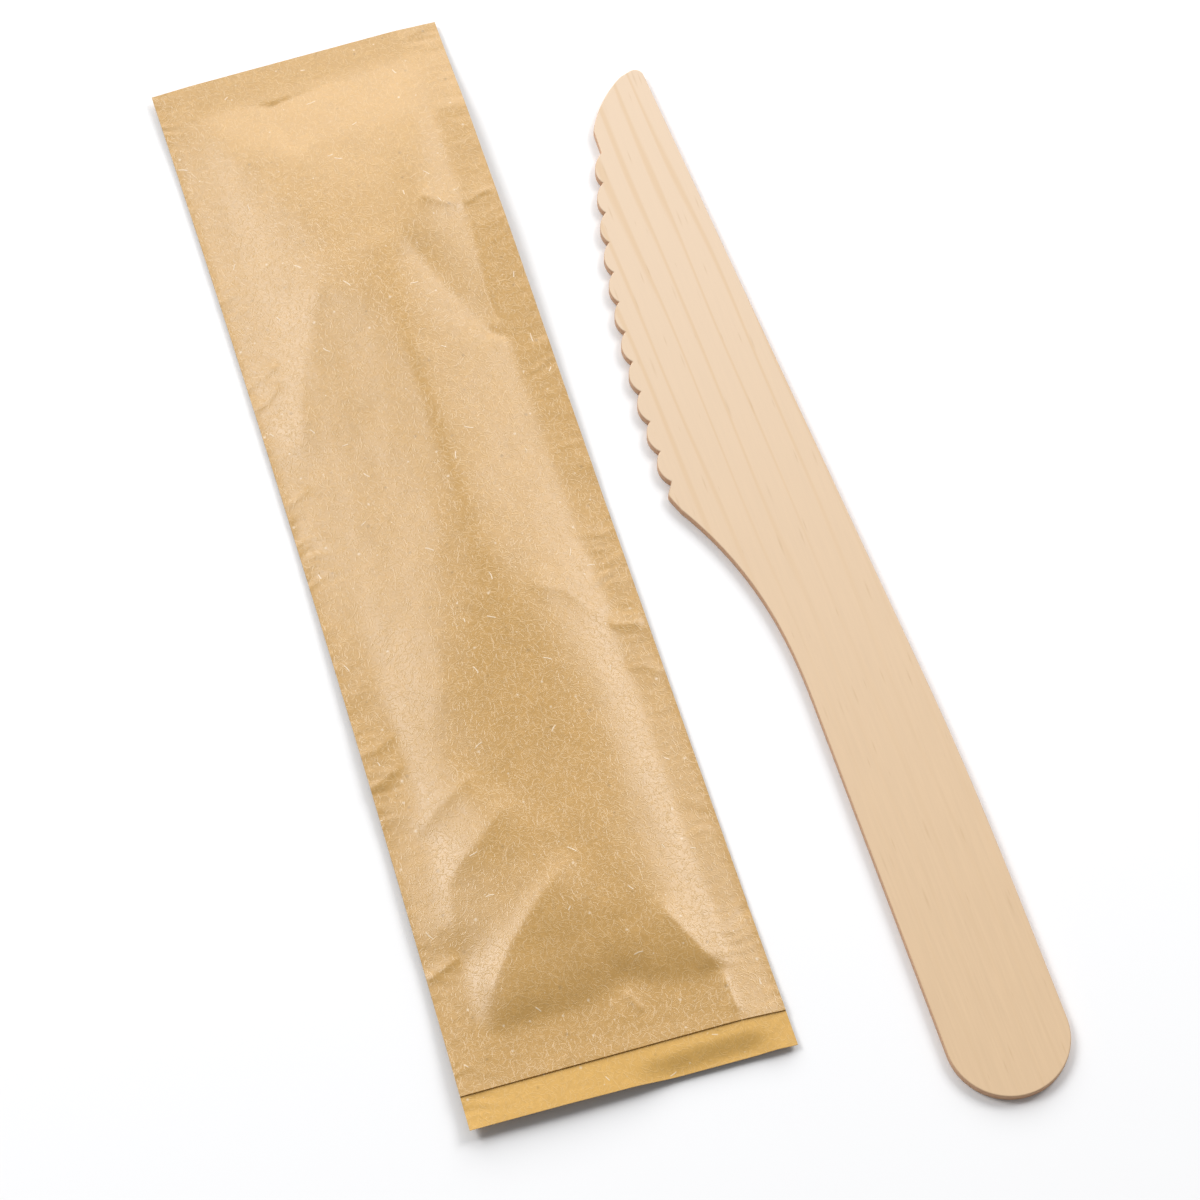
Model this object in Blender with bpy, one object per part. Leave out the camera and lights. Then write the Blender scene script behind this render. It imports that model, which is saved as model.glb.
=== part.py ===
"""A wooden cutlery pack: a sealed kraft paper sachet and a bare wooden knife, lying side by side.

Metres, +Z up. The origin is on the table, under the middle of the box round both things.
Each thing is modelled in its own frame, with its length along +Y, and is then turned and placed.
"""

import math

import bmesh
import bpy
from mathutils import Vector
from mathutils.geometry import interpolate_bezier

MM = 0.001

# The sachet: x runs across it and y along it, from the lip at the foot to the seal at the head.
SACHET_LENGTH = 160.5 * MM
SACHET_WIDTH = 42.1 * MM
PAPER = 0.15 * MM
LIP = 4.6 * MM
FOOT_SEAL = 11.6 * MM
HEAD_SEAL = 6.0 * MM
SIDE_SEAL = 5.2 * MM
WAIST = 0.9 * MM
FOOT_SKEW = 1.3 * MM
HEAD_SKEW = 0.6 * MM
SIDE_LIFT = 1.15 * MM
LIP_LIFT = 1.6 * MM
BULGE_AT_FOOT = 2.5 * MM
BULGE_AT_HEAD = 3.2 * MM
FOOT_SLOPE = 13.0 * MM
HEAD_SLOPE = 45.0 * MM
BACK_SLOPE = 4.0 * MM
SIDE_ROWS = 3
POCKET_ROWS = 14
POCKET_RINGS = 40

# The knife: x runs across it, with the spine on the +X side, and y along it, from the butt to the tip.
KNIFE_LENGTH = 160.0 * MM
KNIFE_THICKNESS = 1.4 * MM
HANDLE_WIDTH = 15.85 * MM
HANDLE_END = 57.0 * MM
SPINE_START = 60.0 * MM
SPINE_AT_START = 6.95 * MM
SPINE_AT_TIP = 1.2 * MM
NECK_DROP = 7.65 * MM
NECK_POWER = 2.5
HEEL = 90.2 * MM
HEEL_RADIUS = 2.2 * MM
BELLY_RADIUS = 185.0 * MM
BELLY_DEPTH = 16.5 * MM
BELLY_AT = 97.0 * MM
TEETH = 12
FIRST_NOTCH = 94.6 * MM
LAST_NOTCH = 147.4 * MM
NOTCH_DEPTH = 1.05 * MM
NOSE_RADIUS = 18.0 * MM
NOSE_START = (-8.4 * MM, 151.3 * MM)
NOSE_HEADING = math.radians(24)
NOSE_TURN = math.radians(32)
TIP_RADIUS = 1.3 * MM

# Where the two lie: the middle of the sachet and the butt of the knife, and how far each is turned.
SACHET_AT = Vector((-19.75, 9.0, 0)) * MM
SACHET_TURN = math.radians(17.45)
KNIFE_AT = Vector((53.0, -68.4, 0)) * MM
KNIFE_TURN = math.radians(17.67)

KRAFT_BROWN = (0.72, 0.50, 0.25, 1.0)
BIRCH = (0.83, 0.64, 0.45, 1.0)


def ease(t):
    """0 below 0, 1 above 1 and a smooth rise between them."""
    t = min(max(t, 0.0), 1.0)
    return t * t * (3.0 - 2.0 * t)


def clear_scene():
    for item in list(bpy.data.objects):
        bpy.data.objects.remove(item)


def finish_of(name, colour, roughness):
    material = bpy.data.materials.new(name)
    material.use_nodes = True
    shader = material.node_tree.nodes["Principled BSDF"]
    shader.inputs["Base Color"].default_value = colour
    shader.inputs["Roughness"].default_value = roughness
    shader.inputs["Metallic"].default_value = 0.0
    return material


# The sachet ---------------------------------------------------------------------------------------


def even(start, end, count):
    """count steps from start to end, without the end itself."""
    return [start + (end - start) * step / count for step in range(count)]


def stations_across():
    half = SACHET_WIDTH / 2
    seam = half - SIDE_SEAL
    left = even(-half, -seam, SIDE_ROWS)
    pocket = even(-seam, seam, POCKET_ROWS)
    return left + pocket + even(seam, half, SIDE_ROWS) + [half]


def stations_along():
    """From the foot to the head; the two close stations at the lip make the front sheet's cut edge."""
    foot = [0.0, LIP / 2, LIP, LIP + PAPER, (LIP + FOOT_SEAL) / 2]
    head = SACHET_LENGTH - HEAD_SEAL
    stations = foot + even(FOOT_SEAL, head, POCKET_RINGS) + [head, head + HEAD_SEAL / 2, SACHET_LENGTH]
    return [station - SACHET_LENGTH / 2 for station in stations]


def plan(x, y):
    """The left edge pulls in between the ends, and both ends are cut a little out of square."""
    from_middle = 2.0 * y / SACHET_LENGTH
    from_right = 0.5 - x / SACHET_WIDTH
    skew = (HEAD_SKEW if y > 0.0 else FOOT_SKEW) * from_middle**3
    return x + WAIST * from_right * (1.0 - from_middle**2), y + skew * x / SACHET_WIDTH


def seam_height(x, y):
    """The sealed edges stand a little off the table, and the lip stands highest."""
    foot = 1.0 - ease((y + SACHET_LENGTH / 2) / (2 * FOOT_SEAL))
    return SIDE_LIFT + (LIP_LIFT - SIDE_LIFT) * foot


def inside(x, y):
    """How far a point lies from the nearest seam, across and along, or nothing outside the pocket."""
    across = SACHET_WIDTH / 2 - SIDE_SEAL - abs(x)
    from_foot = y + SACHET_LENGTH / 2 - FOOT_SEAL
    from_head = SACHET_LENGTH / 2 - HEAD_SEAL - y
    return max(across, 0.0), max(from_foot, 0.0), max(from_head, 0.0)


def bulge(x, y):
    """How far the front sheet stands above its seam over what the sachet holds."""
    across, from_foot, from_head = inside(x, y)
    along = from_foot / (SACHET_LENGTH - FOOT_SEAL - HEAD_SEAL)
    crown = BULGE_AT_FOOT + (BULGE_AT_HEAD - BULGE_AT_FOOT) * along
    swell = math.sin(math.pi / 2 * across / (SACHET_WIDTH / 2 - SIDE_SEAL))
    return crown * swell * ease(from_foot / FOOT_SLOPE) * ease(from_head / HEAD_SLOPE)


def front_height(x, y):
    sheets = 1 if y < LIP + PAPER / 2 - SACHET_LENGTH / 2 else 2
    return seam_height(x, y) + sheets * PAPER + bulge(x, y)


def back_height(x, y):
    """The back sheet lies flat on the table, and curves up to the seams at its borders."""
    settled = min(ease(distance / BACK_SLOPE) for distance in inside(x, y))
    return seam_height(x, y) * (1.0 - settled)


def add_sheet(mesh, height, across, along):
    """A grid laid on the stations, each point raised to the sheet's height there."""
    made = bmesh.ops.create_grid(mesh, x_segments=len(across) - 1, y_segments=len(along) - 1, size=0.5)
    for vertex in made["verts"]:
        x = across[round((vertex.co.x + 0.5) * (len(across) - 1))]
        y = along[round((vertex.co.y + 0.5) * (len(along) - 1))]
        vertex.co = (*plan(x, y), height(x, y))


def make_sachet(collection):
    mesh = bmesh.new()
    across, along = stations_across(), stations_along()
    add_sheet(mesh, front_height, across, along)
    add_sheet(mesh, back_height, across, along)
    rims = [edge for edge in mesh.edges if edge.is_boundary]
    bmesh.ops.bridge_loops(mesh, edges=rims)
    bmesh.ops.recalc_face_normals(mesh, faces=mesh.faces)
    data = bpy.data.meshes.new("paper_sachet")
    mesh.to_mesh(data)
    mesh.free()
    data.shade_smooth()
    data.set_sharp_from_angle(angle=math.radians(40))
    sachet = bpy.data.objects.new("paper_sachet", data)
    sachet.location = SACHET_AT
    sachet.rotation_euler.z = SACHET_TURN
    data.materials.append(finish_of("kraft_paper", KRAFT_BROWN, 0.55))
    collection.objects.link(sachet)
    return sachet


# The knife ----------------------------------------------------------------------------------------


def arc(centre, radius, start, turn, steps):
    """Points on a circle, from the angle start through turn."""
    angles = [start + turn * step / steps for step in range(steps + 1)]
    return [(centre[0] + radius * math.cos(a), centre[1] + radius * math.sin(a)) for a in angles]


def rounded(before, corner, after, radius, steps=5):
    """The arc that rounds a corner between two straight edges."""
    corner = Vector(corner)
    into = (Vector(before) - corner).normalized()
    out = (Vector(after) - corner).normalized()
    half = into.angle(out) / 2
    setback = radius / math.tan(half)
    knots = (corner + into * setback, corner + out * setback)
    handle = radius * 4.0 / 3.0 * math.tan((math.pi - 2.0 * half) / 4.0)
    first = knots[0] - into * handle
    second = knots[1] - out * handle
    curve = interpolate_bezier(knots[0], first, second, knots[1], steps + 1)
    return [(point.x, point.y) for point in curve]


def belly(y):
    """How far the line over the tips of the teeth stands from the handle's middle line."""
    fall = BELLY_RADIUS - math.sqrt(BELLY_RADIUS**2 - (y - BELLY_AT) ** 2)
    return -BELLY_DEPTH + fall


def neck(steps=9):
    """The toothed side's edge swings out from the handle to the heel of the blade."""
    reach = HEEL - HANDLE_END
    shares = [step / steps for step in range(steps + 1)]
    return [(-HANDLE_WIDTH / 2 - NECK_DROP * share**NECK_POWER, HANDLE_END + reach * share) for share in shares]


def teeth(steps=5):
    """Rounded teeth between sharp notches."""
    pitch = (LAST_NOTCH - FIRST_NOTCH) / (TEETH - 1)
    points = []
    for tooth in range(TEETH - 1):
        for step in range(steps):
            share = step / steps
            y = FIRST_NOTCH + pitch * (tooth + share)
            stand = math.sin(math.pi * share) ** 0.7
            points.append((belly(y) + NOTCH_DEPTH * (1.0 - stand), y))
    return points + [(belly(LAST_NOTCH) + NOTCH_DEPTH, LAST_NOTCH)]


def nose(steps=6):
    """The blade's end is an arc that bends in towards the tip."""
    start = math.pi - NOSE_HEADING
    centre = (NOSE_START[0] - NOSE_RADIUS * math.cos(start), NOSE_START[1] - NOSE_RADIUS * math.sin(start))
    return arc(centre, NOSE_RADIUS, start, -NOSE_TURN, steps)


def spine(y):
    return SPINE_AT_START + (SPINE_AT_TIP - SPINE_AT_START) * (y - SPINE_START) / (KNIFE_LENGTH - SPINE_START)


def knife_outline():
    """Once round the knife, from the spine side of the butt by way of the teeth and the tip."""
    half = HANDLE_WIDTH / 2
    butt = arc((0.0, half), half, 0.0, -math.pi, 14)
    blade_end = nose()
    heel_corner = (belly(HEEL + HEEL_RADIUS), HEEL + HEEL_RADIUS)
    heel = rounded(neck()[-2], heel_corner, (belly(FIRST_NOTCH), FIRST_NOTCH), HEEL_RADIUS)
    tip = rounded(blade_end[-1], (spine(KNIFE_LENGTH), KNIFE_LENGTH), (spine(HEEL), HEEL), TIP_RADIUS)
    back = interpolate_bezier(
        Vector((spine(SPINE_START), SPINE_START)),
        Vector((spine(SPINE_START * 0.75), SPINE_START * 0.75)),
        Vector((half, SPINE_START * 0.6)),
        Vector((half, SPINE_START * 0.3)),
        7,
    )
    return butt + neck() + heel + teeth() + blade_end + tip + [(point.x, point.y) for point in back]


def make_knife(collection):
    curve = bpy.data.curves.new("wooden_knife", "CURVE")
    curve.dimensions = "2D"
    curve.fill_mode = "BOTH"
    curve.extrude = KNIFE_THICKNESS / 2
    outline = knife_outline()
    spline = curve.splines.new("POLY")
    spline.points.add(len(outline) - 1)
    for point, (x, y) in zip(spline.points, outline):
        point.co = (x, y, 0.0, 1.0)
    spline.use_cyclic_u = True
    knife = bpy.data.objects.new("wooden_knife", curve)
    knife.location = KNIFE_AT + Vector((0.0, 0.0, KNIFE_THICKNESS / 2))
    knife.rotation_euler.z = KNIFE_TURN
    curve.materials.append(finish_of("birch_veneer", BIRCH, 0.6))
    collection.objects.link(knife)
    return knife


# The pack -----------------------------------------------------------------------------------------


def middle_of(items):
    """The middle, on the table, of the box round the items."""
    bpy.context.view_layer.update()
    graph = bpy.context.evaluated_depsgraph_get()
    points = []
    for item in items:
        seen = item.evaluated_get(graph)
        points += [seen.matrix_world @ vertex.co for vertex in seen.to_mesh().vertices]
        seen.to_mesh_clear()
    low = Vector((min(point.x for point in points), min(point.y for point in points), 0.0))
    high = Vector((max(point.x for point in points), max(point.y for point in points), 0.0))
    return (low + high) / 2


def make_pack():
    clear_scene()
    collection = bpy.data.collections.new("wooden_cutlery_pack")
    bpy.context.scene.collection.children.link(collection)
    things = [make_sachet(collection), make_knife(collection)]
    layout = bpy.data.objects.new("layout", None)
    collection.objects.link(layout)
    for thing in things:
        thing.parent = layout
    layout.location = -middle_of(things)


make_pack()
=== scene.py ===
import math

import bpy
import numpy as np
from mathutils import Matrix, Vector, noise


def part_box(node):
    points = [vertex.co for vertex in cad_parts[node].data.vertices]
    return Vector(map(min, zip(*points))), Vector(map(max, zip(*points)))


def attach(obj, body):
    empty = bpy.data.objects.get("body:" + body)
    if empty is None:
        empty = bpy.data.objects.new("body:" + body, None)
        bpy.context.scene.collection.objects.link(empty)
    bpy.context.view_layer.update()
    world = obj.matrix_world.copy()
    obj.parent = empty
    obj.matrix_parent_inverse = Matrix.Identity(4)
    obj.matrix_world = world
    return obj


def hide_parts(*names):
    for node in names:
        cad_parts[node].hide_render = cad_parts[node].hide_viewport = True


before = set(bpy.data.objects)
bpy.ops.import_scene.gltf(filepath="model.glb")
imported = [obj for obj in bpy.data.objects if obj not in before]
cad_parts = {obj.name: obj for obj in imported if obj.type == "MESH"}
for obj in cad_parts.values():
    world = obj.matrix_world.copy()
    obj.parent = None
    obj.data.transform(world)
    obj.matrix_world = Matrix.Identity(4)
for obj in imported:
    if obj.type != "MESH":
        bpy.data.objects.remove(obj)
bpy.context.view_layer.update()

bl_info = {
    "name": "Wooden Cutlery Pack",
    "version": (1, 0, 0),
    "blender": (4, 5, 0),
    "location": "3D View > Sidebar > Cutlery Pack",
    "description": "Makes a sealed kraft paper sachet, a birch wood knife and the table they lie on",
    "category": "Add Mesh",
}

MM = 0.001
SACHET_NODE = "paper_sachet"
KNIFE_NODE = "wooden_knife"

# How the two things lie: each is made along +Y in its own plan, then turned and placed.
SACHET_TURN = math.radians(17.45)
SACHET_OFF_BOX_MIDDLE = Vector((-0.14, -0.45, 0.0)) * MM
KNIFE_TURN = math.radians(17.67)
BUTT_OFF_BOX_CORNER = Vector((-5.49, 0.35, 0.0)) * MM

# The sachet's plan, in millimetres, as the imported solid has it.
LENGTH = 160.5
WIDTH = 42.1
LIP = 4.6
FOOT_SEAL = 11.6
HEAD_SEAL = 6.0
SIDE_SEAL = 5.2
WAIST = 0.9
FOOT_SKEW = 1.3
HEAD_SKEW = 0.6
COLUMNS = 132
ROWS = 501
BACK_STEP = 3

# The pocket's cross-sections: along, the crest's place and half width, its height, and how arched each side is.
SECTIONS = (
    (0.0, 0.5, 3.0, 1.80, 2.0, 2.5),
    (30.0, 0.5, 3.0, 1.75, 2.0, 2.5),
    (45.0, 1.0, 3.0, 1.60, 2.0, 2.5),
    (55.0, 1.2, 2.6, 1.85, 1.9, 2.4),
    (65.0, 1.6, 1.6, 2.25, 1.45, 1.9),
    (75.0, 1.9, 0.7, 2.65, 1.10, 1.35),
    (85.0, 2.0, 0.1, 2.90, 0.98, 1.15),
    (100.0, 2.0, 0.0, 3.10, 0.96, 1.12),
    (115.0, 2.0, 0.0, 3.25, 1.00, 1.10),
    (128.0, 2.5, 1.5, 3.45, 1.10, 1.15),
    (140.0, 4.0, 4.0, 3.50, 1.10, 1.10),
    (160.5, 4.0, 5.0, 3.50, 1.10, 1.10),
)
HEAD_RUN = 40.0
HEAD_ARCH = 1.6
HEAD_CREST = 3.3
HEAD_BLEND = 3.0
FOOT_RUN = 13.5
FOOT_CREST = 1.95
FOOT_BLEND = 5.0
END_RISE = 6.0

# How the seams lie, in degrees, at stations along them: the outward tilt of each and the twist of the whole.
SEAM_STATIONS = (0.0, 9.0, 22.0, 40.0, 50.0, 60.0, 80.0, 100.0, 125.0, 145.0, 156.0, 160.5)
LEFT_TILT = (1.0, 1.0, 5.0, 6.0, 2.0, 4.0, 9.0, 10.0, 9.5, 9.5, 6.0, 3.0)
RIGHT_TILT = (9.0, 10.0, 9.0, 8.0, 8.0, 6.0, 5.0, 2.0, 3.0, 3.0, 4.0, 5.0)
TWIST = (0.0, 0.0, 0.0, 0.0, 0.0, 0.0, 0.0, 0.6, 2.4, 2.0, 0.2, 0.0)

# Folds: a line of (across, along), how high it stands, how wide its left and right sides run, how round it is.
FOLDS = (
    # the pinched dart under the head seal
    (((-6.2, 158.5), (-5.2, 154.0), (-5.6, 150.5), (-4.6, 146.5), (-2.6, 143.0)), -0.34, 3.2, 1.1, 0.20),
    # the long pulls off the side seals below the head
    (((-16.4, 95.0), (-15.4, 99.0), (-13.8, 105.0), (-12.2, 110.0), (-9.8, 115.0), (-7.2, 120.5), (-3.6, 127.0)),
     0.42, 2.6, 8.0, 0.9),
    (((5.6, 127.0), (7.6, 122.0), (9.8, 116.5), (11.8, 112.0), (13.6, 108.4), (15.8, 106.6)), -0.46, 4.4, 2.4, 0.8),
    (((12.0, 109.4), (14.6, 107.3), (17.4, 106.7), (21.0, 106.2)), -0.24, 1.0, 0.5, 0.12),
    # the shoulder that widens the crest towards the foot
    (((-1.0, 92.0), (-2.2, 80.0), (-4.6, 69.0), (-7.2, 60.0), (-10.6, 50.0)), 0.22, 3.4, 5.0, 1.2),
    # the shingled folds at the lower left
    (((-16.8, 39.6), (-13.3, 42.6), (-9.3, 44.6), (-6.0, 46.0)), 0.24, 4.0, 1.8, 0.4),
    (((-15.7, 21.0), (-15.3, 28.0), (-14.6, 32.0), (-12.4, 34.6), (-8.6, 36.8), (-5.2, 39.4), (-2.0, 42.5)),
     0.60, 5.5, 4.2, 0.5),
    (((-21.0, 20.8), (-18.0, 22.0), (-15.6, 22.6)), 0.22, 1.2, 0.6, 0.12),
    (((-16.4, 12.4), (-12.8, 17.6), (-9.2, 22.0), (-5.4, 25.4), (-1.6, 28.4), (3.0, 31.6)), 0.52, 2.2, 4.4, 0.45),
    # the sharp hip at the right of the foot
    (((15.4, 10.4), (13.4, 14.4), (11.6, 18.0), (9.0, 23.0)), 0.34, 2.6, 1.8, 0.25),
    # the bright turn on the right, above the lower third
    (((6.6, 69.4), (11.6, 67.4), (14.6, 63.8), (16.4, 60.8)), 0.20, 2.6, 1.4, 0.3),
    # pulls over the seams
    (((9.8, 131.2), (13.2, 129.4), (16.2, 128.4)), 0.26, 1.8, 0.9, 0.2),
    (((15.6, 128.6), (21.0, 130.2)), 0.16, 0.9, 0.4, 0.1),
    (((15.4, 61.6), (18.0, 60.6), (21.0, 60.4)), 0.18, 1.0, 0.5, 0.12),
    (((15.8, 54.8), (18.4, 54.4), (21.0, 52.6)), 0.12, 1.0, 0.5, 0.12),
    (((-21.0, 110.2), (-18.0, 110.9), (-15.0, 112.6)), 0.12, 0.9, 0.5, 0.12),
    (((-21.0, 106.4), (-18.0, 107.4), (-15.6, 109.4)), 0.14, 0.9, 0.5, 0.12),
    (((-21.0, 91.0), (-18.4, 91.6), (-16.0, 93.0)), 0.10, 0.9, 0.5, 0.12),
    (((-21.0, 53.0), (-18.4, 53.0), (-15.0, 54.6)), 0.12, 1.0, 0.5, 0.15),
    (((-21.0, 48.0), (-18.4, 48.6), (-15.0, 50.6)), 0.14, 1.0, 0.5, 0.15),
    # creases pressed into the foot seal
    (((2.4, 12.4), (3.2, 10.4), (4.0, 8.6)), 0.16, 0.5, 0.4, 0.1),
    (((0.6, 11.8), (1.4, 8.2)), 0.08, 0.4, 0.4, 0.1),
    (((15.0, 11.4), (15.2, 4.9)), 0.22, 0.4, 0.9, 0.1),
)


# What a user may change -----------------------------------------------------------------------------


class CutlerySachetSizes(bpy.types.PropertyGroup):
    paper: bpy.props.FloatProperty(
        name="Paper", description="Thickness of one sheet", default=0.15 * MM, min=0.05 * MM, max=0.4 * MM,
        precision=5, unit="LENGTH")
    side_lift: bpy.props.FloatProperty(
        name="Seam lift", description="How far the side seams stand off the table", default=1.15 * MM, min=0.0,
        precision=5, unit="LENGTH")
    lip_lift: bpy.props.FloatProperty(
        name="Lip lift", description="How far the lip stands off the table", default=1.6 * MM, min=0.0,
        precision=5, unit="LENGTH")
    fullness: bpy.props.FloatProperty(
        name="Fullness", description="How full the pocket is, as a share of its usual height", default=1.0,
        min=0.2, max=1.3, subtype="FACTOR")
    creasing: bpy.props.FloatProperty(
        name="Creasing", description="Strength of the folds and pulls in the paper", default=1.0, min=0.0,
        max=2.0, subtype="FACTOR")
    crimping: bpy.props.FloatProperty(
        name="Crimping", description="Strength of the fine ripples in the side seams", default=1.0, min=0.0,
        max=2.0, subtype="FACTOR")


class CutlerySachetColours(bpy.types.PropertyGroup):
    outside: bpy.props.FloatVectorProperty(
        name="Outside", description="Colour of the paper's outer face", default=(0.500, 0.283, 0.072),
        min=0.0, max=1.0, subtype="COLOR")
    inside: bpy.props.FloatVectorProperty(
        name="Inside", description="Colour of the paper's inner face, seen at the lip",
        default=(0.64, 0.375, 0.098), min=0.0, max=1.0, subtype="COLOR")
    fibre: bpy.props.FloatVectorProperty(
        name="Fibre", description="Colour of the light fibres in the paper", default=(0.74, 0.53, 0.27),
        min=0.0, max=1.0, subtype="COLOR")


class CutleryKnifeSizes(bpy.types.PropertyGroup):
    thickness: bpy.props.FloatProperty(
        name="Thickness", description="Thickness of the wood", precision=5, unit="LENGTH",
        default=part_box(KNIFE_NODE)[1].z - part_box(KNIFE_NODE)[0].z, min=0.5 * MM)
    rounding: bpy.props.FloatProperty(
        name="Rounding", description="Radius of the sanded edges", default=0.16 * MM, min=0.02 * MM,
        max=0.6 * MM, precision=5, unit="LENGTH")


class CutleryKnifeColours(bpy.types.PropertyGroup):
    face: bpy.props.FloatVectorProperty(
        name="Face", description="Colour of the birch face", default=(0.66, 0.47, 0.29), min=0.0, max=1.0,
        subtype="COLOR")
    ring: bpy.props.FloatVectorProperty(
        name="Ring", description="Colour of the growth lines", default=(0.60, 0.40, 0.21), min=0.0, max=1.0,
        subtype="COLOR")
    side: bpy.props.FloatVectorProperty(
        name="Side", description="Colour of the cut edge", default=(0.56, 0.33, 0.19), min=0.0, max=1.0,
        subtype="COLOR")


class CutleryStage(bpy.types.PropertyGroup):
    floor_size: bpy.props.FloatProperty(
        name="Floor", description="Width of the table top", default=6.0, min=0.5, unit="LENGTH")
    floor_colour: bpy.props.FloatVectorProperty(
        name="Floor colour", description="Colour of the table top", default=(0.86, 0.86, 0.865), min=0.0,
        max=1.0, subtype="COLOR")
    brightness: bpy.props.FloatProperty(
        name="Brightness", description="Strength of all the lights together", default=1.0, min=0.0, max=4.0,
        subtype="FACTOR")


# Shader trees ---------------------------------------------------------------------------------------


class Wire:
    """A value or colour in a finish. Arithmetic on it adds the nodes that work it out."""

    def __init__(self, finish, socket):
        self.finish = finish
        self.socket = socket

    def out(self, name):
        """Another output of the same node."""
        return Wire(self.finish, self.socket.node.outputs[name])

    def maths(self, operation, *values):
        return self.finish.add("ShaderNodeMath", {"operation": operation}, dict(enumerate(values)))

    def __add__(self, other):
        return self.maths("ADD", self, other)

    __radd__ = __add__

    def __sub__(self, other):
        return self.maths("SUBTRACT", self, other)

    def __rsub__(self, other):
        return self.maths("SUBTRACT", other, self)

    def __mul__(self, other):
        return self.maths("MULTIPLY", self, other)

    __rmul__ = __mul__

    def __truediv__(self, other):
        return self.maths("DIVIDE", self, other)

    def __pow__(self, other):
        return self.maths("POWER", self, other)

    def __abs__(self):
        return self.maths("ABSOLUTE", self)

    def clamped(self):
        return self.finish.add("ShaderNodeClamp", {}, {"Value": self})

    def larger(self, other):
        return self.maths("MAXIMUM", self, other)

    def rise(self, low, high):
        """0 at low, 1 at high and a smooth rise between them."""
        return self.finish.add(
            "ShaderNodeMapRange", {"interpolation_type": "SMOOTHSTEP"},
            {"Value": self, "From Min": low, "From Max": high})


class Finish:
    """One material's node tree."""

    def __init__(self, name):
        self.material = bpy.data.materials.new(name)
        self.material.use_nodes = True
        self.tree = self.material.node_tree
        self.tree.nodes.clear()

    def add(self, kind, settings=None, inputs=None, output=0):
        """Adds a node: its settings first, then a value or a wire for each input named."""
        node = self.tree.nodes.new(kind)
        for name, value in (settings or {}).items():
            if name == "stops":
                ramp = node.color_ramp
                while len(ramp.elements) < len(value):
                    ramp.elements.new(0.5)
                for stop, (place, colour) in zip(ramp.elements, value):
                    stop.position = place
                    stop.color = colour
            else:
                setattr(node, name, value)
        for name, value in (inputs or {}).items():
            if isinstance(value, Wire):
                self.tree.links.new(value.socket, node.inputs[name])
            else:
                node.inputs[name].default_value = value
        return Wire(self, node.outputs[output])

    def between(self, first, second, share):
        """A colour that goes from first to second as share goes from 0 to 1."""
        return self.add("ShaderNodeMix", {"data_type": "RGBA"}, {0: share, 6: first, 7: second}, output=2)

    def vector(self, operation, first, second):
        return self.add("ShaderNodeVectorMath", {"operation": operation}, {0: first, 1: second})

    def plan(self):
        """The flat place of a point on its piece, in metres."""
        return self.add("ShaderNodeUVMap", {"uv_map": "plan"})

    def grain(self, place, size, detail=2.0, roughness=0.5, distortion=0.0):
        """Soft random patches of about the size given."""
        return self.add(
            "ShaderNodeTexNoise", {"noise_dimensions": "2D"},
            {"Vector": place, "Scale": 1.0 / size, "Detail": detail, "Roughness": roughness,
             "Distortion": distortion})

    def shader(self, sockets):
        """Ends the tree in a Principled shader."""
        surface = self.add("ShaderNodeBsdfPrincipled", {}, sockets)
        self.add_output(surface)
        return self.material

    def add_output(self, surface):
        node = self.tree.nodes.new("ShaderNodeOutputMaterial")
        self.tree.links.new(surface.socket, node.inputs["Surface"])


def rgba(colour, shade=1.0):
    return tuple(min(channel * shade, 1.0) for channel in colour[:3]) + (1.0,)


def strands(finish, place, cell, length, width, curl, seed):
    """One curled fibre in each patch of a scattered pattern: 1 along its middle and 0 beside it."""
    shifted = finish.vector("ADD", place, (seed * 0.37, seed * 0.53, 0.0))
    patch = finish.add(
        "ShaderNodeTexVoronoi", {"voronoi_dimensions": "2D"}, {"Vector": shifted, "Scale": 1.0 / cell},
        output="Position")
    local = finish.vector("SUBTRACT", shifted, patch)
    chance = finish.add("ShaderNodeSeparateColor", {}, {"Color": patch.out("Color")})
    turned = finish.add(
        "ShaderNodeVectorRotate", {"rotation_type": "Z_AXIS"}, {"Vector": local, "Angle": chance * math.tau})
    axes = finish.add("ShaderNodeSeparateXYZ", {}, {"Vector": turned})
    along = axes / length
    bow = (chance.out("Green") - 0.5) * along * along * (2.0 * curl)
    across = abs((axes.out("Y") / width) - bow / width)
    reach = chance.out("Blue") * 0.6 + 0.4
    return (1.0 - across).clamped() * (1.0 - abs(along) / reach).rise(0.0, 0.3)


def flecks(finish, place, cell, size, seed):
    """Round dots scattered over the surface, in some of the patches of a pattern."""
    shifted = finish.vector("ADD", place, (seed * 0.41, seed * 0.29, 0.0))
    near = finish.add(
        "ShaderNodeTexVoronoi", {"voronoi_dimensions": "2D"}, {"Vector": shifted, "Scale": 1.0 / cell})
    chance = finish.add("ShaderNodeSeparateColor", {}, {"Color": near.out("Color")})
    reach = chance * (size / cell)
    return (1.0 - near / reach).clamped() * chance.out("Green").rise(0.35, 0.7)


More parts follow.
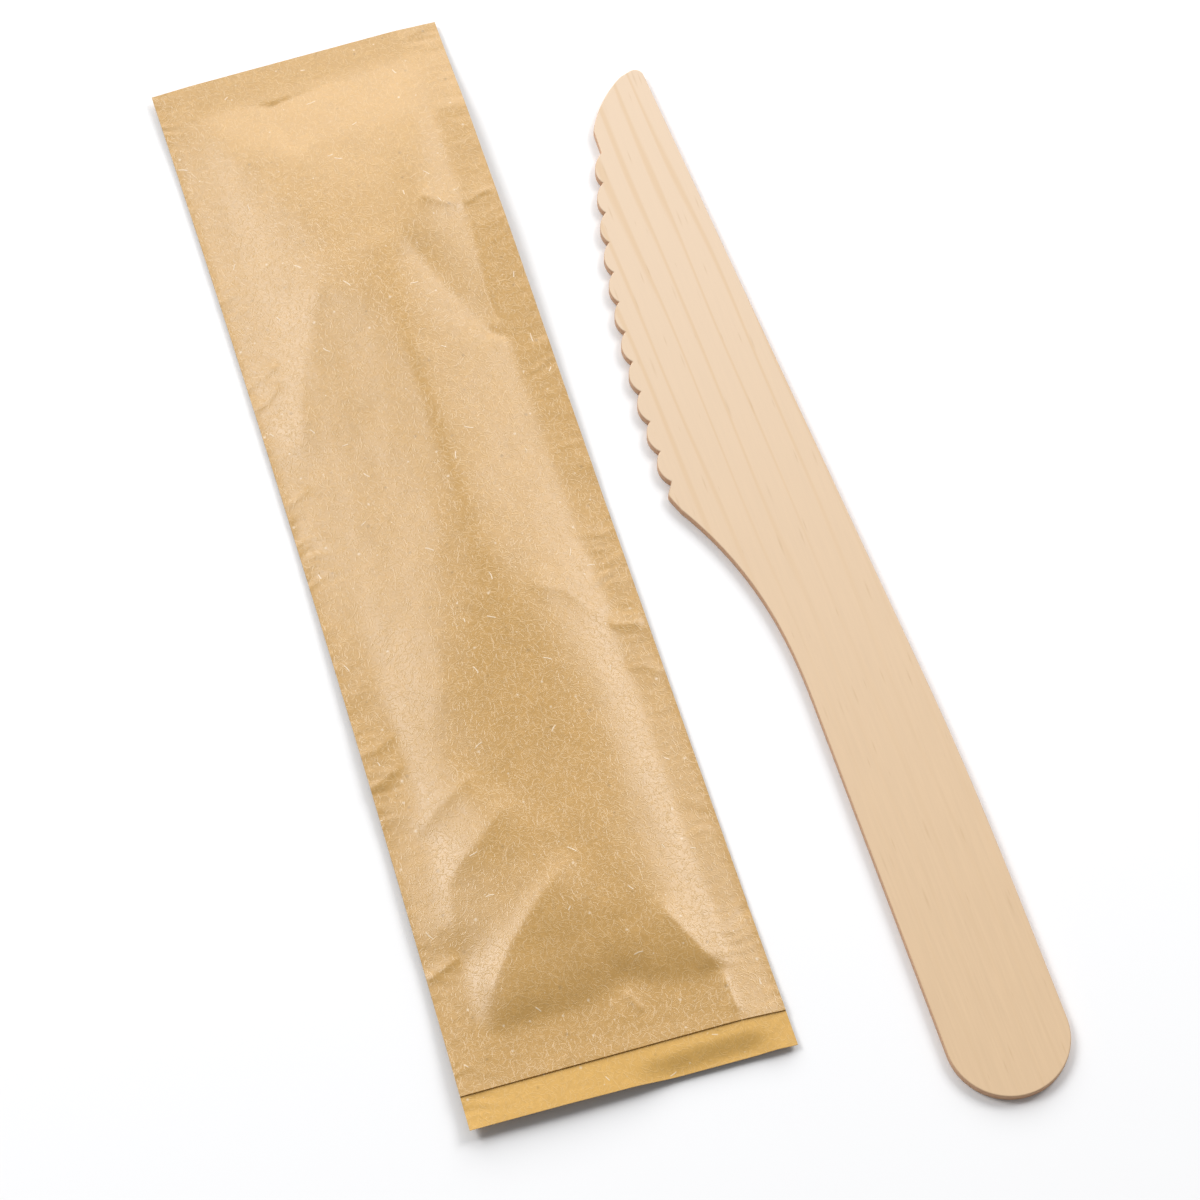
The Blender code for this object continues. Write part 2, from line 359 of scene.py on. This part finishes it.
def kraft_finish(name, colour, fibre, roughness, specular):
    """Brown kraft paper: clouded pulp, curled light fibres, a few white strands and dark specks."""
    finish = Finish(name)
    place = finish.plan()
    cloud = finish.grain(place, 5.0 * MM, detail=3.0)
    pulp = finish.grain(place, 0.8 * MM, detail=3.0, roughness=0.6, distortion=1.2)
    curls = finish.grain(place, 1.3 * MM, detail=1.0, distortion=2.5)
    thread = 1.0 - abs(curls - 0.5).rise(0.006, 0.030)
    short = strands(finish, place, 0.8 * MM, 0.50 * MM, 0.08 * MM, 0.40 * MM, 1)
    crossing = strands(finish, place, 1.0 * MM, 0.60 * MM, 0.08 * MM, 0.45 * MM, 8)
    middle = strands(finish, place, 1.9 * MM, 1.0 * MM, 0.08 * MM, 0.9 * MM, 2)
    long = strands(finish, place, 4.7 * MM, 1.8 * MM, 0.08 * MM, 1.4 * MM, 3)
    white = strands(finish, place, 10.5 * MM, 0.8 * MM, 0.10 * MM, 0.2 * MM, 4)
    dots = flecks(finish, place, 3.6 * MM, 0.30 * MM, 5)
    dark = flecks(finish, place, 5.0 * MM, 0.38 * MM, 6)
    light = short.larger(crossing * 0.8).larger(middle).larger(long * 0.9).larger(thread * 0.35)
    shades = (cloud * 0.5 + pulp * 1.3 - 0.4).clamped()
    base = finish.between(rgba(colour, 0.88), rgba(colour, 1.10), shades)
    fibred = finish.between(base, rgba(fibre), light * 0.30)
    flecked = finish.between(fibred, rgba((0.85, 0.74, 0.58)), (white * 0.75).larger(dots * 0.6))
    specked = finish.between(flecked, rgba(colour, 0.50), dark * 0.6)
    relief = pulp * 0.5 + light * 0.6 + white * 0.8
    bump = finish.add("ShaderNodeBump", {}, {"Height": relief, "Distance": 0.05 * MM, "Strength": 0.5})
    return finish.shader({
        "Base Color": specked,
        "Roughness": pulp * 0.10 + (roughness - 0.05),
        "Specular IOR Level": specular,
        "Normal": bump,
    })


def birch_finish(name, sizes, colours):
    """Bare birch: pale face with thin growth lines and short pores, darker where it is cut across."""
    finish = Finish(name)
    place = finish.plan()
    axes = finish.add("ShaderNodeSeparateXYZ", {}, {"Vector": place})
    along = axes.out("Y")
    drawn = finish.add("ShaderNodeCombineXYZ", {}, {"X": axes, "Y": along * 0.045})
    streak = finish.grain(drawn, 0.42 * MM, detail=3.0, roughness=0.6)
    wander = finish.grain(drawn, 3.0 * MM, detail=1.0)
    slant = axes + along * 0.035 + wander * (2.2 * MM)
    ring = 1.0 - abs((slant / (3.1 * MM)).maths("PINGPONG", slant / (3.1 * MM), 0.5)).rise(0.02, 0.12)
    blade = along.rise(0.060, 0.110)
    pore_place = finish.add("ShaderNodeCombineXYZ", {}, {"X": axes, "Y": along * 0.10})
    pores = flecks(finish, pore_place, 1.1 * MM, 0.22 * MM, 7)
    paling = along.rise(0.0, 0.160)
    face = finish.between(rgba(colours.face, 0.93), rgba(colours.face, 1.05), streak)
    lifted = finish.between(face, rgba((0.70, 0.555, 0.42)), paling * 0.75)
    ringed = finish.between(lifted, rgba(colours.ring), ring * (blade * 0.30 + 0.08))
    pored = finish.between(ringed, rgba(colours.ring, 0.80), pores * 0.35)
    faced = finish.add("ShaderNodeNewGeometry", {}, {}, output="Normal")
    upright = abs(finish.add("ShaderNodeSeparateXYZ", {}, {"Vector": faced}).out("Z"))
    edge = finish.between(rgba(colours.side), rgba(colours.side, 1.15), streak)
    both = finish.between(edge, pored, upright.rise(0.35, 0.97))
    bump = finish.add("ShaderNodeBump", {}, {"Height": streak - pores * 0.6, "Distance": 0.03 * MM, "Strength": 0.4})
    return finish.shader({
        "Base Color": both,
        "Roughness": streak * 0.12 + 0.50,
        "Specular IOR Level": 0.35,
        "Normal": bump,
    })


def floor_finish(name, colour):
    finish = Finish(name)
    place = finish.add("ShaderNodeNewGeometry", {}, {}, output="Position")
    cloud = finish.grain(place, 0.4, detail=1.0)
    return finish.shader({
        "Base Color": finish.between(rgba(colour, 0.998), rgba(colour, 1.002), cloud),
        "Roughness": 0.7,
        "Specular IOR Level": 0.2,
    })


# Meshes ---------------------------------------------------------------------------------------------


def ease(t):
    t = np.clip(t, 0.0, 1.0)
    return t * t * (3.0 - 2.0 * t)


def make_mesh(name, points, faces, plan, turn, place):
    """A mesh from points in millimetres in its own plan, turned and placed in the pack."""
    data = bpy.data.meshes.new(name)
    data.from_pydata([tuple(point) for point in np.asarray(points) * MM], [], faces)
    layer = data.uv_layers.new(name="plan")
    corners = np.empty(len(data.loops), np.int32)
    data.loops.foreach_get("vertex_index", corners)
    layer.data.foreach_set("uv", (np.asarray(plan) * MM)[corners].astype(np.float32).ravel())
    data.transform(Matrix.Translation(place) @ Matrix.Rotation(turn, 4, "Z"))
    data.update()
    piece = bpy.data.objects.new(name, data)
    bpy.context.scene.collection.objects.link(piece)
    return piece


def rows_along():
    """Stations from lip to head; two stand close together where the front sheet is cut."""
    along = np.linspace(0.0, LENGTH, ROWS + 1)
    cut = int(round(LIP / LENGTH * ROWS))
    along[cut] = LIP
    along[cut + 1] = LIP + 0.03
    return along


def plan_of(x, along):
    """The left edge pulls in between the ends, and both ends are cut a little out of square."""
    y = along - LENGTH / 2
    from_middle = 2.0 * y / LENGTH
    skew = np.where(y > 0.0, HEAD_SKEW, FOOT_SKEW) * from_middle**3
    return x + WAIST * (0.5 - x / WIDTH) * (1.0 - from_middle**2), along + skew * x / WIDTH


def least(first, second, blend):
    """The lower of two heights; where they meet, the hip between them is rounder the higher it is."""
    floor = 1e-4
    return (np.maximum(first, floor) ** -blend + np.maximum(second, floor) ** -blend) ** (-1.0 / blend)


def pocket_height(x, along):
    """Height of the front sheet over what the sachet holds: a crest with a slope to each seam."""
    stations = np.array(SECTIONS)
    crest, flat, height, left_arch, right_arch = (
        np.interp(along, stations[:, 0], stations[:, column]) for column in range(1, 6))
    half = WIDTH / 2 - SIDE_SEAL
    left = np.clip((crest - flat - x) / (crest - flat + half), 0.0, 1.0)
    right = np.clip((x - crest - flat) / (half - crest - flat), 0.0, 1.0)
    section = height * (1.0 - left**left_arch) * (1.0 - right**right_arch)
    from_head = (along - (LENGTH - HEAD_SEAL - HEAD_RUN)) / HEAD_RUN
    head = HEAD_CREST * (1.0 - np.clip(from_head, 0.0, 1.0)**HEAD_ARCH) + END_RISE * np.maximum(0.3 - from_head, 0.0)
    hollow = 2.2 * np.exp(-(((x - 3.0) / 3.0) ** 2))
    from_foot = (along - FOOT_SEAL - hollow) / (FOOT_RUN - hollow)
    foot = FOOT_CREST * (1.0 - (1.0 - np.clip(from_foot, 0.0, 1.0)) ** 2) + END_RISE * np.maximum(from_foot - 0.7, 0.0)
    return least(least(section, head, HEAD_BLEND), foot, FOOT_BLEND)


def soften(height, times):
    for _ in range(times):
        padded = np.pad(height, 1, mode="edge")
        height = (padded[:-2, 1:-1] + 2.0 * height + padded[2:, 1:-1]) / 4.0
        padded = np.pad(height, 1, mode="edge")
        height = (padded[1:-1, :-2] + 2.0 * height + padded[1:-1, 2:]) / 4.0
    return height


def fold(across, along, line, stand, left, right, rounding):
    """A crease that stands proud along a line, with its own width on each side, and fades at its ends."""
    nearest = np.full(across.shape, 1e9)
    side = np.zeros(across.shape)
    share = np.zeros(across.shape)
    lengths = [math.hypot(b[0] - a[0], b[1] - a[1]) for a, b in zip(line, line[1:])]
    total = sum(lengths)
    done = 0.0
    for (x0, y0), (x1, y1), length in zip(line, line[1:], lengths):
        dx, dy = (x1 - x0) / length, (y1 - y0) / length
        t = np.clip((across - x0) * dx + (along - y0) * dy, 0.0, length)
        off_x, off_y = across - x0 - t * dx, along - y0 - t * dy
        distance = np.hypot(off_x, off_y)
        closer = distance < nearest
        nearest = np.where(closer, distance, nearest)
        side = np.where(closer, dx * off_y - dy * off_x, side)
        share = np.where(closer, (done + t) / total, share)
        done += length
    width = np.where(side > 0.0, left, right)
    distance = np.sqrt(nearest**2 + rounding**2) - rounding
    return stand * np.exp(-distance / width) * ease(share / 0.25) * ease((1.0 - share) / 0.25)


def ripples(across, along, strength):
    """Fine cross ripples where the side seams were pressed together, stronger in some places."""
    seam = ease((np.abs(across) - 14.2) / 4.5)
    wave = np.zeros(across.shape)
    for row, column in zip(*np.nonzero(seam)):
        v, u = across[row, column], along[row, column]
        bent = u + 1.4 * noise.noise((v / 4.0, u / 9.0, 5.0)) - 0.12 * abs(v)
        patch = max(noise.noise((v / 7.0, u / 10.0, 31.0)) + 0.22, 0.0)
        fine = noise.noise((v / 4.5, bent / 0.85, 3.1)) + 0.8 * noise.noise((v / 5.0, bent / 1.9, 9.4))
        wave[row, column] = fine * (0.35 + 1.5 * patch)
    return strength * seam * wave


def unevenness(across, along):
    """Slow, slight waves in the paper."""
    rough = np.zeros(across.shape)
    for row in range(across.shape[0]):
        for column in range(across.shape[1]):
            v, u = across[row, column], along[row, column]
            rough[row, column] = (
                0.060 * noise.noise((v / 4.5, u / 7.0, 1.7)) + 0.020 * noise.noise((v / 1.9, u / 2.6, 6.2)))
    return rough


def lip_shape(across, along):
    """The lip stands up at the left and curls under towards its right."""
    curl = ease((across + 1.0) / 7.0) * ease((19.0 - across) / 4.0)
    return -0.85 * curl * (1.0 - ease(along / 3.0)) + 0.25 * ease(-across / 10.0) * (1.0 - ease(along / 5.0))


def seam_height(sizes, x, along):
    """The seams stand off the table, tilt outwards, and rise towards the lip."""
    foot = 1.0 - ease(along / (2 * FOOT_SEAL))
    level = sizes.side_lift / MM + (sizes.lip_lift - sizes.side_lift) / MM * foot
    beyond_left = np.maximum(-x - WIDTH / 2 + SIDE_SEAL, 0.0)
    beyond_right = np.maximum(x - WIDTH / 2 + SIDE_SEAL + 0.6, 0.0)
    left = np.tan(np.radians(np.interp(along, SEAM_STATIONS, LEFT_TILT)))
    right = np.tan(np.radians(np.interp(along, SEAM_STATIONS, RIGHT_TILT)))
    twist = np.tan(np.radians(np.interp(along, SEAM_STATIONS, TWIST)))
    return level - beyond_left * left - beyond_right * right + (x + WIDTH / 2) * twist


def sachet_heights(sizes, x, along, across_true, along_true):
    """Heights of the front and back sheets over the whole plan, in millimetres."""
    paper = sizes.paper / MM
    seam = seam_height(sizes, x, along)
    half = WIDTH / 2 - SIDE_SEAL
    inner = np.minimum(np.minimum(half - np.abs(x), along - FOOT_SEAL), LENGTH - HEAD_SEAL - along)
    inner = np.maximum(inner, 0.0)
    settled = ease(inner / 4.0)
    pocket = soften(pocket_height(x, along) * sizes.fullness + seam, 12)
    creases = sum(fold(across_true, along_true, *entry) for entry in FOLDS)
    ripple = ripples(across_true, along_true, 0.075 * sizes.crimping)
    waves = unevenness(across_true, along_true) * (0.35 + 0.65 * ease(inner / 3.0))
    curl = lip_shape(across_true, along_true)
    sheets = np.where(along < LIP + 0.01, 1.0, 2.0)
    edge_up = 0.10 * (1.0 - ease((along - LIP) / 2.5)) * (along > LIP + 0.01)
    front = pocket + sheets * paper + creases * sizes.creasing + ripple + waves + curl + edge_up
    back = np.maximum((seam + ripple + curl + waves * 0.5) * (1.0 - settled), 0.0)
    return np.maximum(front, back + sheets * paper), back


def grid_faces(rows, columns, start, flip):
    faces = []
    for row in range(rows):
        for column in range(columns):
            a = start + row * (columns + 1) + column
            quad = (a, a + 1, a + columns + 2, a + columns + 1)
            faces.append(quad[::-1] if flip else quad)
    return faces


def rim_of(rows, columns, start, step=1):
    """Vertex numbers once round a grid's border, anticlockwise from its first corner."""
    wide = columns + 1
    bottom = list(range(0, columns, step))
    right = [row * wide + columns for row in range(0, rows, step)]
    top = [rows * wide + column for column in range(columns, 0, -step)]
    left = [row * wide for row in range(rows, 0, -step)]
    return [start + number for number in bottom + right + top + left]


def build_sachet(sizes, colours):
    x = np.linspace(-WIDTH / 2, WIDTH / 2, COLUMNS + 1)[None, :].repeat(ROWS + 1, 0)
    along = rows_along()[:, None].repeat(COLUMNS + 1, 1)
    across_true, along_true = plan_of(x, along)
    front, back = sachet_heights(sizes, x, along, across_true, along_true)
    y_true = along_true - LENGTH / 2
    front_points = np.stack([across_true, y_true, front], 2).reshape(-1, 3)
    coarse = (slice(None, None, BACK_STEP), slice(None, None, BACK_STEP))
    back_points = np.stack([across_true[coarse], y_true[coarse], back[coarse]], 2).reshape(-1, 3)
    back_rows, back_columns = ROWS // BACK_STEP, COLUMNS // BACK_STEP
    points = list(front_points) + list(back_points)
    faces = grid_faces(ROWS, COLUMNS, 0, False)
    faces += grid_faces(back_rows, back_columns, len(front_points), True)
    outer = rim_of(ROWS, COLUMNS, 0)
    inner = rim_of(back_rows, back_columns, len(front_points))
    back_rim = back.reshape(-1)[outer]
    loops = [outer]
    centre = np.array([0.0, 0.0])
    for share, inset in ((0.62, 0.0), (0.5, 0.10), (0.38, 0.0)):
        loop = []
        for number, low in zip(outer, back_rim):
            top = front_points[number]
            thick = top[2] - low
            pull = inset if thick > 0.2 else 0.0
            toward = (centre - top[:2]) / np.array([WIDTH / 2, LENGTH / 2])
            toward = np.sign(toward) * (np.abs(toward) > 0.97)
            loop.append(len(points))
            points.append(np.array([top[0] + toward[0] * pull, top[1] + toward[1] * pull, low + thick * share]))
        loops.append(loop)
    count = len(outer)
    for upper, lower in zip(loops, loops[1:]):
        for i in range(count):
            j = (i + 1) % count
            faces.append((upper[j], upper[i], lower[i], lower[j]))
    last = loops[-1]
    for i, number in enumerate(inner):
        j = (i + 1) % len(inner)
        fine = [last[(i * BACK_STEP + k) % count] for k in range(BACK_STEP + 1)]
        faces.append(tuple(fine[::-1] + [number, inner[j]]))
    plan = np.array(points)[:, :2]
    middle = sum(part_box(SACHET_NODE), Vector()) / 2
    place = Vector((middle.x, middle.y, 0.0)) + SACHET_OFF_BOX_MIDDLE
    sachet = make_mesh(SACHET_NODE + "_paper", points, faces, plan, SACHET_TURN, place)
    data = sachet.data
    data.shade_smooth()
    data.set_sharp_from_angle(angle=math.radians(55))
    data.materials.append(kraft_finish("kraft_outside", colours.outside, colours.fibre, 0.37, 1.0))
    data.materials.append(kraft_finish("kraft_inside", colours.inside, colours.fibre, 0.60, 0.40))
    lip_rows = int(round(LIP / LENGTH * ROWS))
    for index in range(lip_rows * COLUMNS):
        data.polygons[index].material_index = 1
    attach(sachet, "root")
    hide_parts(SACHET_NODE)
    return sachet


# The knife's outline, in millimetres: x runs across it with the spine on the +X side, y from butt to tip.
KNIFE_LENGTH = 160.0
HANDLE_WIDTH = 15.85
HANDLE_END = 57.0
SPINE_START = 60.0
SPINE_AT_START = 6.95
SPINE_AT_TIP = 1.2
NECK_DROP = 7.65
NECK_POWER = 2.5
HEEL = 90.2
HEEL_RADIUS = 2.2
BELLY_RADIUS = 185.0
BELLY_DEPTH = 16.5
BELLY_AT = 97.0
TEETH = 12
FIRST_NOTCH = 94.6
LAST_NOTCH = 147.4
NOTCH_DEPTH = 1.05
NOSE_RADIUS = 18.0
NOSE_START = (-8.4, 151.3)
NOSE_HEADING = math.radians(24)
NOSE_TURN = math.radians(32)
TIP_RADIUS = 1.3


def arc(centre, radius, start, turn, steps):
    angles = start + turn * np.linspace(0.0, 1.0, steps + 1)
    return [(centre[0] + radius * math.cos(a), centre[1] + radius * math.sin(a)) for a in angles]


def bezier(a, b, c, d, steps):
    points = []
    for t in np.linspace(0.0, 1.0, steps + 1):
        s = 1.0 - t
        weights = (s**3, 3 * s * s * t, 3 * s * t * t, t**3)
        points.append(tuple(sum(w * p[axis] for w, p in zip(weights, (a, b, c, d))) for axis in (0, 1)))
    return points


def rounded(before, corner, after, radius, steps):
    corner = Vector(corner)
    into = (Vector(before) - corner).normalized()
    out = (Vector(after) - corner).normalized()
    half = into.angle(out) / 2
    setback = radius / math.tan(half)
    handle = radius * 4.0 / 3.0 * math.tan((math.pi - 2.0 * half) / 4.0)
    start, end = corner + into * setback, corner + out * setback
    return bezier(start, start - into * handle, end - out * handle, end, steps)


def belly(y):
    return -BELLY_DEPTH + BELLY_RADIUS - math.sqrt(BELLY_RADIUS**2 - (y - BELLY_AT) ** 2)


def spine(y):
    return SPINE_AT_START + (SPINE_AT_TIP - SPINE_AT_START) * (y - SPINE_START) / (KNIFE_LENGTH - SPINE_START)


def knife_outline():
    """Once round the knife, from the spine side of the butt by way of the teeth and the tip."""
    half = HANDLE_WIDTH / 2
    butt = arc((0.0, half), half, 0.0, -math.pi, 48)
    swing = [(-half - NECK_DROP * share**NECK_POWER, HANDLE_END + (HEEL - HANDLE_END) * share)
             for share in np.linspace(0.0, 1.0, 33)]
    heel = rounded(swing[-2], (belly(HEEL + HEEL_RADIUS), HEEL + HEEL_RADIUS), (belly(FIRST_NOTCH), FIRST_NOTCH),
                   HEEL_RADIUS, 12)
    pitch = (LAST_NOTCH - FIRST_NOTCH) / (TEETH - 1)
    teeth = []
    for tooth in range(TEETH - 1):
        for share in (0.0, 0.03, 0.08, 0.15, 0.23, 0.32, 0.41, 0.5, 0.59, 0.68, 0.77, 0.85, 0.92, 0.97):
            y = FIRST_NOTCH + pitch * (tooth + share)
            stand = max(math.sin(math.pi * share), 0.0) ** 0.7
            teeth.append((belly(y) + NOTCH_DEPTH * (1.0 - stand), y))
    teeth.append((belly(LAST_NOTCH) + NOTCH_DEPTH, LAST_NOTCH))
    start = math.pi - NOSE_HEADING
    centre = (NOSE_START[0] - NOSE_RADIUS * math.cos(start), NOSE_START[1] - NOSE_RADIUS * math.sin(start))
    nose = arc(centre, NOSE_RADIUS, start, -NOSE_TURN, 20)
    tip = rounded(nose[-1], (spine(KNIFE_LENGTH), KNIFE_LENGTH), (spine(HEEL), HEEL), TIP_RADIUS, 12)
    back = bezier((spine(SPINE_START), SPINE_START), (spine(SPINE_START * 0.75), SPINE_START * 0.75),
                  (half, SPINE_START * 0.6), (half, SPINE_START * 0.3), 18)
    return np.array(butt + swing + heel + teeth + nose + tip + back)


def inset(outline, distance):
    """The outline moved inwards, each point along the mean of its two edges' normals."""
    before = outline - np.roll(outline, 1, 0)
    after = np.roll(outline, -1, 0) - outline
    before /= np.linalg.norm(before, axis=1)[:, None]
    after /= np.linalg.norm(after, axis=1)[:, None]
    mean = before + after
    mean /= np.maximum(np.linalg.norm(mean, axis=1), 1e-6)[:, None]
    normal = np.stack([mean[:, 1], -mean[:, 0]], 1)
    stretch = np.clip(1.0 / np.maximum((normal * np.stack([before[:, 1], -before[:, 0]], 1)).sum(1), 0.5), 1.0, 1.6)
    return outline + normal * (distance * stretch)[:, None]


def build_knife(sizes, colours):
    outline = knife_outline()
    thick, round_off = sizes.thickness / MM, sizes.rounding / MM
    levels = []
    for step in range(4):
        angle = math.pi / 2 * step / 3
        levels.append((round_off * (1.0 - math.sin(angle)), round_off * (1.0 - math.cos(angle))))
    rings = levels + [(away, thick - height) for away, height in reversed(levels)]
    points, faces = [], []
    for away, height in rings:
        loop = inset(outline, away)
        points += [(x, y, height) for x, y in loop]
    count = len(outline)
    for ring in range(len(rings) - 1):
        for i in range(count):
            j = (i + 1) % count
            low, high = ring * count, (ring + 1) * count
            faces.append((low + j, low + i, high + i, high + j))
    top = (len(rings) - 1) * count
    faces.append(tuple(range(count)))
    faces.append(tuple(top + i for i in reversed(range(count))))
    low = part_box(KNIFE_NODE)
    place = Vector((low[1].x, low[0].y, 0.0)) + BUTT_OFF_BOX_CORNER
    plan = np.array(points)[:, :2]
    knife = make_mesh(KNIFE_NODE + "_birch", points, faces, plan, KNIFE_TURN, place)
    data = knife.data
    data.shade_smooth()
    for polygon in list(data.polygons)[-2:]:
        polygon.use_smooth = False
    data.materials.append(birch_finish("birch_veneer", sizes, colours))
    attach(knife, "root")
    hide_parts(KNIFE_NODE)
    return knife


# The stage ------------------------------------------------------------------------------------------

VIEW_CENTRE = Vector((2.657, -9.453, 0.0)) * MM
VIEW_DISTANCE = 450.3 * MM
VIEW_TILT = math.radians(26.0)
VIEW_LENS = 102.0


def softbox(name, place, size, power, aim=Vector((0.0, 0.0, 0.0))):
    light = bpy.data.lights.new(name, "AREA")
    light.shape = "RECTANGLE"
    light.size, light.size_y = size
    light.energy = power
    lamp = bpy.data.objects.new(name, light)
    lamp.location = place
    lamp.rotation_euler = (aim - Vector(place)).to_track_quat("-Z", "Y").to_euler()
    lamp.visible_camera = False
    bpy.context.scene.collection.objects.link(lamp)
    return lamp


def build_stage(stage):
    half = stage.floor_size / 2
    data = bpy.data.meshes.new("table_top")
    steps = np.linspace(-half, half, 13)
    points = [(x, y, 0.0) for y in steps for x in steps]
    data.from_pydata(points, [], grid_faces(12, 12, 0, False))
    data.materials.append(floor_finish("table_white", stage.floor_colour))
    floor = bpy.data.objects.new("table_top", data)
    bpy.context.scene.collection.objects.link(floor)

    bright = stage.brightness
    softbox("window_north", (-0.15, 1.30, 0.82), (2.2, 1.05), 22.0 * bright)
    softbox("softbox_west", (-0.63, 0.28, 0.84), (0.34, 0.5), 5.6 * bright)
    softbox("softbox_east", (0.60, 0.54, 0.78), (0.35, 0.5), 5.0 * bright)
    world = bpy.data.worlds.new("soft_room")
    bpy.context.scene.world = world
    world.use_nodes = True
    background = world.node_tree.nodes["Background"]
    background.inputs["Color"].default_value = (0.97, 0.98, 1.0, 1.0)
    background.inputs["Strength"].default_value = 0.25 * bright

    camera = bpy.data.cameras.new("view")
    camera.lens = VIEW_LENS
    camera.sensor_width = 36.0
    camera.clip_start = 0.01
    viewer = bpy.data.objects.new("view", camera)
    viewer.location = VIEW_CENTRE + VIEW_DISTANCE * Vector((0.0, -math.sin(VIEW_TILT), math.cos(VIEW_TILT)))
    viewer.rotation_euler = (VIEW_TILT, 0.0, 0.0)
    bpy.context.scene.collection.objects.link(viewer)
    bpy.context.scene.camera = viewer
    bpy.context.scene.view_settings.view_transform = "Standard"
    return floor


# Operators and panel --------------------------------------------------------------------------------


class CUTLERY_OT_make_sachet(bpy.types.Operator):
    """Makes the sealed kraft paper sachet"""

    bl_idname = "cutlery.make_sachet"
    bl_label = "Make Sachet"

    def execute(self, context):
        scene = context.scene
        build_sachet(scene.cutlery_sachet, scene.cutlery_sachet_colours)
        return {"FINISHED"}


class CUTLERY_OT_make_knife(bpy.types.Operator):
    """Makes the toothed birch knife"""

    bl_idname = "cutlery.make_knife"
    bl_label = "Make Knife"

    def execute(self, context):
        scene = context.scene
        build_knife(scene.cutlery_knife, scene.cutlery_knife_colours)
        return {"FINISHED"}


class CUTLERY_OT_make_stage(bpy.types.Operator):
    """Makes the table top, the lights and the camera"""

    bl_idname = "cutlery.make_stage"
    bl_label = "Make Stage"

    def execute(self, context):
        build_stage(context.scene.cutlery_stage)
        return {"FINISHED"}


class CUTLERY_PT_panel(bpy.types.Panel):
    """Lists the sizes and colours of the pack, and makes its pieces"""

    bl_idname = "CUTLERY_PT_panel"
    bl_label = "Cutlery Pack"
    bl_space_type = "VIEW_3D"
    bl_region_type = "UI"
    bl_category = "Cutlery Pack"

    def draw(self, context):
        for operator, groups in PARTS:
            box = self.layout.box()
            for group in groups:
                values = getattr(context.scene, group)
                for name in values.__annotations__:
                    box.prop(values, name)
            box.operator(operator)


PARTS = (
    (CUTLERY_OT_make_sachet.bl_idname, ("cutlery_sachet", "cutlery_sachet_colours")),
    (CUTLERY_OT_make_knife.bl_idname, ("cutlery_knife", "cutlery_knife_colours")),
    (CUTLERY_OT_make_stage.bl_idname, ("cutlery_stage",)),
)
GROUPS = {
    "cutlery_sachet": CutlerySachetSizes,
    "cutlery_sachet_colours": CutlerySachetColours,
    "cutlery_knife": CutleryKnifeSizes,
    "cutlery_knife_colours": CutleryKnifeColours,
    "cutlery_stage": CutleryStage,
}
CLASSES = (*GROUPS.values(), CUTLERY_OT_make_sachet, CUTLERY_OT_make_knife, CUTLERY_OT_make_stage, CUTLERY_PT_panel)


def register():
    for kind in CLASSES:
        bpy.utils.register_class(kind)
    for name, group in GROUPS.items():
        setattr(bpy.types.Scene, name, bpy.props.PointerProperty(type=group))


def unregister():
    for name in GROUPS:
        delattr(bpy.types.Scene, name)
    for kind in reversed(CLASSES):
        bpy.utils.unregister_class(kind)


def main():
    register()
    bpy.ops.cutlery.make_sachet()
    bpy.ops.cutlery.make_knife()
    bpy.ops.cutlery.make_stage()


if __name__ == "__main__":
    main()
